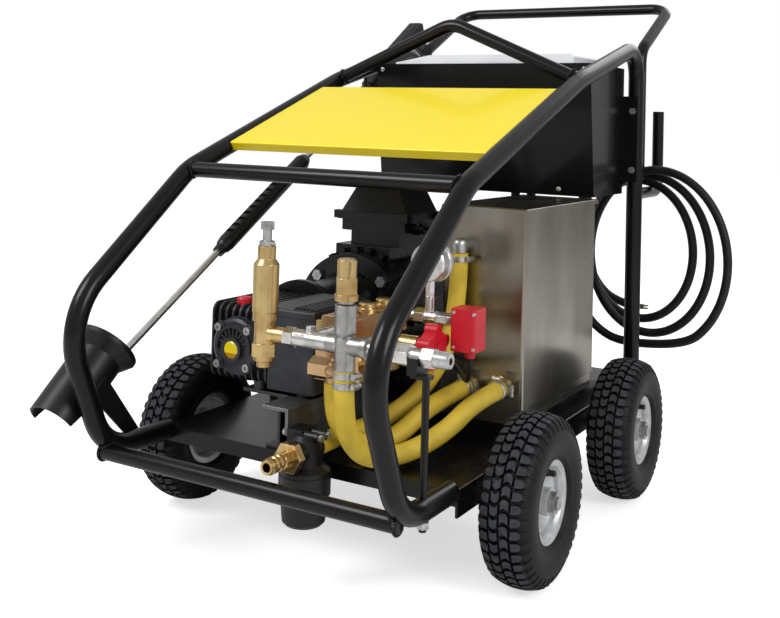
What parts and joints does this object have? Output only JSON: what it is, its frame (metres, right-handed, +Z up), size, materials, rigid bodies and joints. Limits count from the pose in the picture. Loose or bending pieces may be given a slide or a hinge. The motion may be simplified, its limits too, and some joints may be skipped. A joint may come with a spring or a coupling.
{
  "type": "pressure washer",
  "caption": "Electric pressure washer on wheels in a tubular cage, with motor, plunger pump, water tank, control box, spray lance and a coiled power cord.",
  "frame": {"origin": "on the floor under the middle of the machine's box, measured without the power cord", "axes": "+Y along the machine's length, towards the push handle; +X towards its right side as seen from behind the pump, where the water tank is; +Z up"},
  "size_m": [0.8595, 1.3542, 1.0095],
  "materials": {
    "black_paint": "semi-gloss powder coat",
    "yellow_paint": "gloss powder coat",
    "stainless": "brushed stainless steel",
    "zinc": "bright zinc",
    "silver_rim": "silver painted pressed steel",
    "brass": "satin machined brass",
    "pump_grey": "charcoal painted cast aluminium",
    "motor_black": "black painted castings",
    "tyre_rubber": "worn matte tread rubber",
    "cord_rubber": "smooth black cable sheath",
    "hose_yellow": "matte yellow hose",
    "black_plastic": "fine grained black plastic",
    "pale_plastic": "pale plastic cover",
    "red_plastic": "crimson moulded plastic",
    "amber_glass": "amber sight glass",
    "float_plastic": "white hollow float"
  },
  "bodies": {
    "frame": {"side_tube_left": "black_paint", "side_tube_right": "black_paint", "cross_tubes": "black_paint", "lifting_arch": "black_paint", "push_handle": "black_paint", "deck_tray": "black_paint", "wheel_axles": "zinc", "hood_panel": "yellow_paint", "control_box": "black_paint", "control_lid": "pale_plastic", "starter": "black_plastic", "cable_glands": "black_plastic", "tank_body": "stainless", "tank_fittings": "zinc", "supply_hose": "hose_yellow", "bypass_hose": "hose_yellow", "suction_hose": "hose_yellow", "motor_housing": "motor_black", "fan_cover": "black_plastic", "terminal_box": "black_plastic", "bell_housing": "motor_black", "pump_crankcase": "pump_grey", "bearing_cover": "pump_grey", "sight_glass": "amber_glass", "pump_plungers": "zinc", "pump_manifold": "brass", "valve_caps": "brass", "line_fittings": "stainless", "pump_brackets": "black_paint", "regulator_body": "brass", "unloader_body": "stainless", "pressure_gauge": "stainless", "pressure_switch": "red_plastic", "control_cables": "cord_rubber", "filter_head": "black_plastic", "lance_cup": "black_plastic", "power_cord": "cord_rubber", "cord_coil": "cord_rubber", "fasteners": "zinc"},
    "drive": {"motor_rotor": "zinc", "pump_crankshaft": "zinc"},
    "main_switch": {"main_switch": "red_plastic"},
    "star_knob": {"star_knob": "red_plastic"},
    "regulator_screw": {"regulator_screw": "zinc"},
    "oil_cap": {"oil_cap": "red_plastic"},
    "tank_lid": {"tank_lid": "stainless"},
    "float_arm": {"float_arm": "float_plastic"},
    "filter_bowl": {"filter_bowl": "black_plastic"},
    "lance": {"lance_tube": "stainless", "lance_grip": "black_plastic", "spray_gun": "black_plastic"},
    "gun_trigger": {"gun_trigger": "red_plastic"},
    "wheel_front_left": {"tyre_front_left": "tyre_rubber", "rim_front_left": "silver_rim"},
    "wheel_front_right": {"tyre_front_right": "tyre_rubber", "rim_front_right": "silver_rim"},
    "wheel_rear_left": {"tyre_rear_left": "tyre_rubber", "rim_rear_left": "silver_rim"},
    "wheel_rear_right": {"tyre_rear_right": "tyre_rubber", "rim_rear_right": "silver_rim"}
  },
  "joints": [
    {"name": "front_left_wheel_spin", "type": "hinge", "parent": "frame", "child": "wheel_front_left", "pos_m": [-0.334, -0.28539, 0.13098], "axis": [1, 0, 0], "continuous": true},
    {"name": "front_right_wheel_spin", "type": "hinge", "parent": "frame", "child": "wheel_front_right", "pos_m": [0.342, -0.28539, 0.13098], "axis": [1, 0, 0], "continuous": true},
    {"name": "rear_left_wheel_spin", "type": "hinge", "parent": "frame", "child": "wheel_rear_left", "pos_m": [-0.334, 0.17661, 0.13098], "axis": [1, 0, 0], "continuous": true},
    {"name": "rear_right_wheel_spin", "type": "hinge", "parent": "frame", "child": "wheel_rear_right", "pos_m": [0.342, 0.17661, 0.13098], "axis": [1, 0, 0], "continuous": true},
    {"name": "drive_spin", "type": "hinge", "parent": "frame", "child": "drive", "pos_m": [-0.123, -0.08539, 0.33198], "axis": [0, 1, 0], "continuous": true},
    {"name": "main_switch_turn", "type": "hinge", "parent": "frame", "child": "main_switch", "pos_m": [-0.146, 0.39861, 0.75998], "axis": [0, 1, 0], "range_deg": [0, 90]},
    {"name": "star_knob_turn", "type": "hinge", "parent": "frame", "child": "star_knob", "pos_m": [0.172, -0.32939, 0.34998], "axis": [1, 0, 0], "range_deg": [0, 330]},
    {"name": "regulator_screw_turn", "type": "hinge", "parent": "frame", "child": "regulator_screw", "pos_m": [-0.007, -0.52239, 0.51998], "axis": [0, 0, 1], "range_deg": [-180, 180]},
    {"name": "oil_cap_lift", "type": "slide", "parent": "frame", "child": "oil_cap", "axis": [0, 0, 1], "range_m": [0, 0.03]},
    {"name": "tank_lid_lift", "type": "slide", "parent": "frame", "child": "tank_lid", "axis": [0, 0, 1], "range_m": [0, 0.03]},
    {"name": "float_arm_swing", "type": "hinge", "parent": "frame", "child": "float_arm", "pos_m": [0.148, -0.11739, 0.49798], "axis": [1, 0, 0], "range_deg": [-45, 0]},
    {"name": "filter_bowl_drop", "type": "slide", "parent": "frame", "child": "filter_bowl", "axis": [0, 0, -1], "range_m": [0, 0.085]},
    {"name": "lance_lift", "type": "slide", "parent": "frame", "child": "lance", "axis": [0, 0.8508, 0.5255], "range_m": [0, 0.16]},
    {"name": "trigger_pull", "type": "hinge", "parent": "lance", "child": "gun_trigger", "pos_m": [-0.329, 0.43598, 0.88425], "axis": [1, 0, 0], "range_deg": [0, 14], "stiffness_Nm_per_rad": 0.4, "springref_deg": -2.86}
  ]
}
